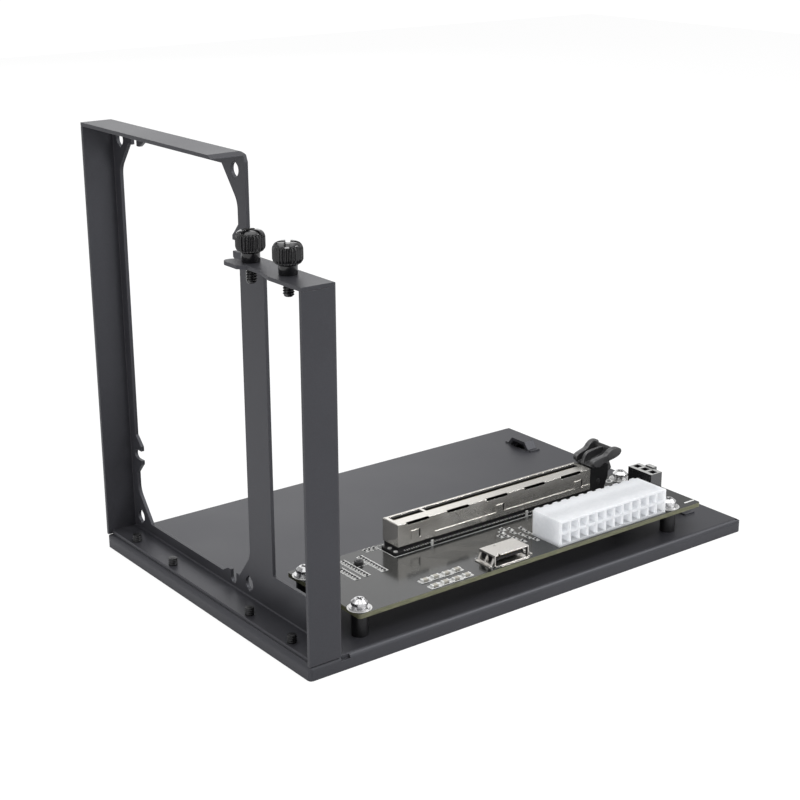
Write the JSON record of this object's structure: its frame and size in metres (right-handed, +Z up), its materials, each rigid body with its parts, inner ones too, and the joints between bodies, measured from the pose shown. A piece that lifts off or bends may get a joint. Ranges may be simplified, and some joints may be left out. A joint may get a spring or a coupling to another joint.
{
  "type": "external graphics card enclosure",
  "caption": "Open dock for a desktop graphics card: sheet metal tray, upright frame for a power supply and card bracket, card slot board with latch and sockets.",
  "frame": {"origin": "middle of the tray's footprint, on the surface that the tray's lips stand on", "axes": "+X along the tray away from the upright frame, +Y towards the power supply's side, +Z up"},
  "size_m": [0.194, 0.132, 0.155],
  "materials": {
    "powder_coat": "satin powder coat",
    "board_mask": "glossy solder mask",
    "black_nylon": "satin moulded",
    "white_nylon": "translucent moulded",
    "nickel_silver": "satin drawn sheet",
    "tinned_shell": "bright tin plate",
    "tinned_pin": "bright tin plate",
    "black_screw": "black oxide",
    "black_standoff": "black anodised",
    "plated_steel": "bright zinc plate"
  },
  "bodies": {
    "dock": {"base_tray": "powder_coat", "upright_frame": "powder_coat", "circuit_board": "board_mask", "slot_housing": "black_nylon", "slot_shield": "nickel_silver", "power_housing": "white_nylon", "power_pins": "tinned_pin", "socket_shell": "tinned_shell", "socket_tongue": "black_nylon", "fan_header": "black_nylon", "frame_screw_1": "black_screw", "standoff_1": "black_standoff", "board_washer_1": "plated_steel", "spring_washer_1": "plated_steel", "board_screw_1": "plated_steel", "frame_screw_2": "black_screw", "standoff_2": "black_standoff", "board_washer_2": "plated_steel", "spring_washer_2": "plated_steel", "board_screw_2": "plated_steel", "frame_screw_3": "black_screw", "standoff_3": "black_standoff", "board_washer_3": "plated_steel", "spring_washer_3": "plated_steel", "board_screw_3": "plated_steel", "frame_screw_4": "black_screw", "standoff_4": "black_standoff", "board_washer_4": "plated_steel", "spring_washer_4": "plated_steel", "board_screw_4": "plated_steel"},
    "latch": {"slot_latch": "black_nylon"},
    "thumb_1": {"thumb_shank_1": "black_screw", "thumb_head_1": "black_screw"},
    "thumb_2": {"thumb_shank_2": "black_screw", "thumb_head_2": "black_screw"}
  },
  "joints": [
    {"name": "latch_release", "type": "hinge", "parent": "dock", "child": "latch", "pos_m": [0.0578, -0.026, 0.0182], "axis": [0, 1, 0], "range_deg": [0, 25]},
    {"name": "thumb_turn_1", "type": "hinge", "parent": "dock", "child": "thumb_1", "pos_m": [-0.0908, -0.05016, 0.124], "axis": [0, 0, 1], "range_deg": [0, 360]},
    {"name": "thumb_turn_2", "type": "hinge", "parent": "dock", "child": "thumb_2", "pos_m": [-0.0908, -0.02984, 0.124], "axis": [0, 0, 1], "range_deg": [0, 360]}
  ]
}
